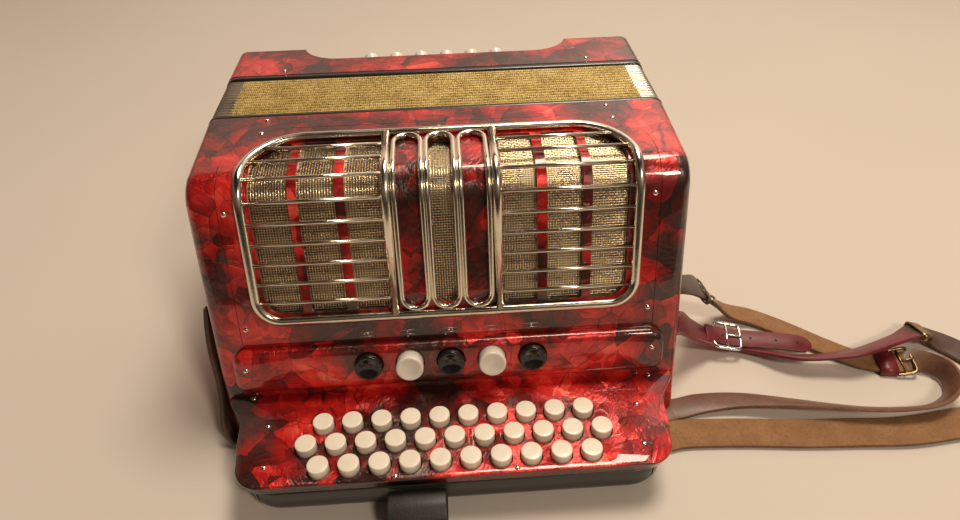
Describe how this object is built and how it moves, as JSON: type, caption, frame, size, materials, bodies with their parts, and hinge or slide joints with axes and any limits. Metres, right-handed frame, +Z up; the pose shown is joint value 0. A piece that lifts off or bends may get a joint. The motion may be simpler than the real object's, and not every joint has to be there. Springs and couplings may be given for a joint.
{
  "type": "button accordion",
  "caption": "Diatonic button accordion on its back: sloping treble casing with grille, register pushers, folding bellows, bass casing with hand strap, and shoulder straps.",
  "frame": {"origin": "middle of the instrument's footprint without its shoulder straps, on the surface it lies on", "axes": "+Z up out of the back, +X along the keyboard to the right seen from the keyboard, +Y from the keyboard to the bass casing"},
  "size_m": [0.6005, 0.3668, 0.1928],
  "materials": {
    "pearloid": "polished red pearl celluloid with dark marbling",
    "chrome": "polished",
    "mesh_metal": "fine woven mesh, satin",
    "ivory_plastic": "cream, polished",
    "black_plastic": "black, polished",
    "black_wood": "satin black paint",
    "bellows_cloth": "gold woven cloth over card folds",
    "frame_black": "black lacquer",
    "leather_tan": "brown, suede inside",
    "leather_burgundy": "burgundy, smooth",
    "leather_black": "black, fine grain",
    "reed_wood": "bare spruce"
  },
  "bodies": {
    "treble_side": {"treble_casing": "pearloid", "grille_panel": "pearloid", "grille_frame": "chrome", "grille_mesh": "mesh_metal", "register_bar": "pearloid", "fingerboard": "pearloid", "keyboard_block": "black_wood", "treble_reed_block": "reed_wood", "bellows_frame_treble": "frame_black", "bellows": "bellows_cloth", "thumb_strap": "leather_black", "shoulder_strap_upper": "leather_tan", "shoulder_strap_lower": "leather_burgundy"},
    "bass_side": {"bass_casing": "pearloid", "bellows_frame_bass": "frame_black", "bass_reed_block": "reed_wood", "bass_hand_strap": "leather_black"},
    "register_1": {"register_1": "black_plastic"},
    "register_2": {"register_2": "ivory_plastic"},
    "register_3": {"register_3": "black_plastic"},
    "register_4": {"register_4": "ivory_plastic"},
    "register_5": {"register_5": "black_plastic"},
    "treble_button_1_01": {"treble_button_1_01": "ivory_plastic"},
    "treble_button_1_02": {"treble_button_1_02": "ivory_plastic"},
    "treble_button_1_03": {"treble_button_1_03": "ivory_plastic"},
    "treble_button_1_04": {"treble_button_1_04": "ivory_plastic"},
    "treble_button_1_05": {"treble_button_1_05": "ivory_plastic"},
    "treble_button_1_06": {"treble_button_1_06": "ivory_plastic"},
    "treble_button_1_07": {"treble_button_1_07": "ivory_plastic"},
    "treble_button_1_08": {"treble_button_1_08": "ivory_plastic"},
    "treble_button_1_09": {"treble_button_1_09": "ivory_plastic"},
    "treble_button_1_10": {"treble_button_1_10": "ivory_plastic"},
    "treble_button_2_01": {"treble_button_2_01": "ivory_plastic"},
    "treble_button_2_02": {"treble_button_2_02": "ivory_plastic"},
    "treble_button_2_03": {"treble_button_2_03": "ivory_plastic"},
    "treble_button_2_04": {"treble_button_2_04": "ivory_plastic"},
    "treble_button_2_05": {"treble_button_2_05": "ivory_plastic"},
    "treble_button_2_06": {"treble_button_2_06": "ivory_plastic"},
    "treble_button_2_07": {"treble_button_2_07": "ivory_plastic"},
    "treble_button_2_08": {"treble_button_2_08": "ivory_plastic"},
    "treble_button_2_09": {"treble_button_2_09": "ivory_plastic"},
    "treble_button_2_10": {"treble_button_2_10": "ivory_plastic"},
    "treble_button_2_11": {"treble_button_2_11": "ivory_plastic"},
    "treble_button_3_01": {"treble_button_3_01": "ivory_plastic"},
    "treble_button_3_02": {"treble_button_3_02": "ivory_plastic"},
    "treble_button_3_03": {"treble_button_3_03": "ivory_plastic"},
    "treble_button_3_04": {"treble_button_3_04": "ivory_plastic"},
    "treble_button_3_05": {"treble_button_3_05": "ivory_plastic"},
    "treble_button_3_06": {"treble_button_3_06": "ivory_plastic"},
    "treble_button_3_07": {"treble_button_3_07": "ivory_plastic"},
    "treble_button_3_08": {"treble_button_3_08": "ivory_plastic"},
    "treble_button_3_09": {"treble_button_3_09": "ivory_plastic"},
    "treble_button_3_10": {"treble_button_3_10": "ivory_plastic"},
    "bass_button_1": {"bass_button_1": "ivory_plastic"},
    "bass_button_2": {"bass_button_2": "ivory_plastic"},
    "bass_button_3": {"bass_button_3": "ivory_plastic"},
    "bass_button_4": {"bass_button_4": "ivory_plastic"},
    "bass_button_5": {"bass_button_5": "ivory_plastic"},
    "bass_button_6": {"bass_button_6": "ivory_plastic"},
    "air_button": {"air_button": "ivory_plastic"}
  },
  "joints": [
    {"name": "bellows_pull", "type": "slide", "parent": "treble_side", "child": "bass_side", "axis": [0, 1, 0], "range_m": [0, 0.3], "deforming": ["bellows"]},
    {"name": "register_1_push", "type": "slide", "parent": "treble_side", "child": "register_1", "axis": [0, 0.9576, -0.2882], "range_m": [0, 0.004], "stiffness_N_per_m": 300, "springref_m": -0.006},
    {"name": "register_2_push", "type": "slide", "parent": "treble_side", "child": "register_2", "axis": [0, 0.9576, -0.2882], "range_m": [0, 0.004], "stiffness_N_per_m": 300, "springref_m": -0.006},
    {"name": "register_3_push", "type": "slide", "parent": "treble_side", "child": "register_3", "axis": [0, 0.9576, -0.2882], "range_m": [0, 0.004], "stiffness_N_per_m": 300, "springref_m": -0.006},
    {"name": "register_4_push", "type": "slide", "parent": "treble_side", "child": "register_4", "axis": [0, 0.9576, -0.2882], "range_m": [0, 0.004], "stiffness_N_per_m": 300, "springref_m": -0.006},
    {"name": "register_5_push", "type": "slide", "parent": "treble_side", "child": "register_5", "axis": [0, 0.9576, -0.2882], "range_m": [0, 0.004], "stiffness_N_per_m": 300, "springref_m": -0.006},
    {"name": "air_button_push", "type": "slide", "parent": "bass_side", "child": "air_button", "axis": [0, -1, 0], "range_m": [0, 0.004], "stiffness_N_per_m": 250, "springref_m": -0.006},
    {"name": "bass_button_1_push", "type": "slide", "parent": "bass_side", "child": "bass_button_1", "axis": [0, -0.848, -0.5299], "range_m": [0, 0.003], "stiffness_N_per_m": 150, "springref_m": -0.006},
    {"name": "bass_button_2_push", "type": "slide", "parent": "bass_side", "child": "bass_button_2", "axis": [0, -0.848, -0.5299], "range_m": [0, 0.003], "stiffness_N_per_m": 150, "springref_m": -0.006},
    {"name": "bass_button_3_push", "type": "slide", "parent": "bass_side", "child": "bass_button_3", "axis": [0, -0.848, -0.5299], "range_m": [0, 0.003], "stiffness_N_per_m": 150, "springref_m": -0.006},
    {"name": "bass_button_4_push", "type": "slide", "parent": "bass_side", "child": "bass_button_4", "axis": [0, -0.848, -0.5299], "range_m": [0, 0.003], "stiffness_N_per_m": 150, "springref_m": -0.006},
    {"name": "bass_button_5_push", "type": "slide", "parent": "bass_side", "child": "bass_button_5", "axis": [0, -0.848, -0.5299], "range_m": [0, 0.003], "stiffness_N_per_m": 150, "springref_m": -0.006},
    {"name": "bass_button_6_push", "type": "slide", "parent": "bass_side", "child": "bass_button_6", "axis": [0, -0.848, -0.5299], "range_m": [0, 0.003], "stiffness_N_per_m": 150, "springref_m": -0.006},
    {"name": "treble_button_1_01_push", "type": "slide", "parent": "treble_side", "child": "treble_button_1_01", "axis": [0, 0, -1], "range_m": [0, 0.0035], "stiffness_N_per_m": 120, "springref_m": -0.006},
    {"name": "treble_button_1_02_push", "type": "slide", "parent": "treble_side", "child": "treble_button_1_02", "axis": [0, 0, -1], "range_m": [0, 0.0035], "stiffness_N_per_m": 120, "springref_m": -0.006},
    {"name": "treble_button_1_03_push", "type": "slide", "parent": "treble_side", "child": "treble_button_1_03", "axis": [0, 0, -1], "range_m": [0, 0.0035], "stiffness_N_per_m": 120, "springref_m": -0.006},
    {"name": "treble_button_1_04_push", "type": "slide", "parent": "treble_side", "child": "treble_button_1_04", "axis": [0, 0, -1], "range_m": [0, 0.0035], "stiffness_N_per_m": 120, "springref_m": -0.006},
    {"name": "treble_button_1_05_push", "type": "slide", "parent": "treble_side", "child": "treble_button_1_05", "axis": [0, 0, -1], "range_m": [0, 0.0035], "stiffness_N_per_m": 120, "springref_m": -0.006},
    {"name": "treble_button_1_06_push", "type": "slide", "parent": "treble_side", "child": "treble_button_1_06", "axis": [0, 0, -1], "range_m": [0, 0.0035], "stiffness_N_per_m": 120, "springref_m": -0.006},
    {"name": "treble_button_1_07_push", "type": "slide", "parent": "treble_side", "child": "treble_button_1_07", "axis": [0, 0, -1], "range_m": [0, 0.0035], "stiffness_N_per_m": 120, "springref_m": -0.006},
    {"name": "treble_button_1_08_push", "type": "slide", "parent": "treble_side", "child": "treble_button_1_08", "axis": [0, 0, -1], "range_m": [0, 0.0035], "stiffness_N_per_m": 120, "springref_m": -0.006},
    {"name": "treble_button_1_09_push", "type": "slide", "parent": "treble_side", "child": "treble_button_1_09", "axis": [0, 0, -1], "range_m": [0, 0.0035], "stiffness_N_per_m": 120, "springref_m": -0.006},
    {"name": "treble_button_1_10_push", "type": "slide", "parent": "treble_side", "child": "treble_button_1_10", "axis": [0, 0, -1], "range_m": [0, 0.0035], "stiffness_N_per_m": 120, "springref_m": -0.006},
    {"name": "treble_button_2_01_push", "type": "slide", "parent": "treble_side", "child": "treble_button_2_01", "axis": [0, 0, -1], "range_m": [0, 0.0035], "stiffness_N_per_m": 120, "springref_m": -0.006},
    {"name": "treble_button_2_02_push", "type": "slide", "parent": "treble_side", "child": "treble_button_2_02", "axis": [0, 0, -1], "range_m": [0, 0.0035], "stiffness_N_per_m": 120, "springref_m": -0.006},
    {"name": "treble_button_2_03_push", "type": "slide", "parent": "treble_side", "child": "treble_button_2_03", "axis": [0, 0, -1], "range_m": [0, 0.0035], "stiffness_N_per_m": 120, "springref_m": -0.006},
    {"name": "treble_button_2_04_push", "type": "slide", "parent": "treble_side", "child": "treble_button_2_04", "axis": [0, 0, -1], "range_m": [0, 0.0035], "stiffness_N_per_m": 120, "springref_m": -0.006},
    {"name": "treble_button_2_05_push", "type": "slide", "parent": "treble_side", "child": "treble_button_2_05", "axis": [0, 0, -1], "range_m": [0, 0.0035], "stiffness_N_per_m": 120, "springref_m": -0.006},
    {"name": "treble_button_2_06_push", "type": "slide", "parent": "treble_side", "child": "treble_button_2_06", "axis": [0, 0, -1], "range_m": [0, 0.0035], "stiffness_N_per_m": 120, "springref_m": -0.006},
    {"name": "treble_button_2_07_push", "type": "slide", "parent": "treble_side", "child": "treble_button_2_07", "axis": [0, 0, -1], "range_m": [0, 0.0035], "stiffness_N_per_m": 120, "springref_m": -0.006},
    {"name": "treble_button_2_08_push", "type": "slide", "parent": "treble_side", "child": "treble_button_2_08", "axis": [0, 0, -1], "range_m": [0, 0.0035], "stiffness_N_per_m": 120, "springref_m": -0.006},
    {"name": "treble_button_2_09_push", "type": "slide", "parent": "treble_side", "child": "treble_button_2_09", "axis": [0, 0, -1], "range_m": [0, 0.0035], "stiffness_N_per_m": 120, "springref_m": -0.006},
    {"name": "treble_button_2_10_push", "type": "slide", "parent": "treble_side", "child": "treble_button_2_10", "axis": [0, 0, -1], "range_m": [0, 0.0035], "stiffness_N_per_m": 120, "springref_m": -0.006},
    {"name": "treble_button_2_11_push", "type": "slide", "parent": "treble_side", "child": "treble_button_2_11", "axis": [0, 0, -1], "range_m": [0, 0.0035], "stiffness_N_per_m": 120, "springref_m": -0.006},
    {"name": "treble_button_3_01_push", "type": "slide", "parent": "treble_side", "child": "treble_button_3_01", "axis": [0, 0, -1], "range_m": [0, 0.0035], "stiffness_N_per_m": 120, "springref_m": -0.006},
    {"name": "treble_button_3_02_push", "type": "slide", "parent": "treble_side", "child": "treble_button_3_02", "axis": [0, 0, -1], "range_m": [0, 0.0035], "stiffness_N_per_m": 120, "springref_m": -0.006},
    {"name": "treble_button_3_03_push", "type": "slide", "parent": "treble_side", "child": "treble_button_3_03", "axis": [0, 0, -1], "range_m": [0, 0.0035], "stiffness_N_per_m": 120, "springref_m": -0.006},
    {"name": "treble_button_3_04_push", "type": "slide", "parent": "treble_side", "child": "treble_button_3_04", "axis": [0, 0, -1], "range_m": [0, 0.0035], "stiffness_N_per_m": 120, "springref_m": -0.006},
    {"name": "treble_button_3_05_push", "type": "slide", "parent": "treble_side", "child": "treble_button_3_05", "axis": [0, 0, -1], "range_m": [0, 0.0035], "stiffness_N_per_m": 120, "springref_m": -0.006},
    {"name": "treble_button_3_06_push", "type": "slide", "parent": "treble_side", "child": "treble_button_3_06", "axis": [0, 0, -1], "range_m": [0, 0.0035], "stiffness_N_per_m": 120, "springref_m": -0.006},
    {"name": "treble_button_3_07_push", "type": "slide", "parent": "treble_side", "child": "treble_button_3_07", "axis": [0, 0, -1], "range_m": [0, 0.0035], "stiffness_N_per_m": 120, "springref_m": -0.006},
    {"name": "treble_button_3_08_push", "type": "slide", "parent": "treble_side", "child": "treble_button_3_08", "axis": [0, 0, -1], "range_m": [0, 0.0035], "stiffness_N_per_m": 120, "springref_m": -0.006},
    {"name": "treble_button_3_09_push", "type": "slide", "parent": "treble_side", "child": "treble_button_3_09", "axis": [0, 0, -1], "range_m": [0, 0.0035], "stiffness_N_per_m": 120, "springref_m": -0.006},
    {"name": "treble_button_3_10_push", "type": "slide", "parent": "treble_side", "child": "treble_button_3_10", "axis": [0, 0, -1], "range_m": [0, 0.0035], "stiffness_N_per_m": 120, "springref_m": -0.006}
  ]
}
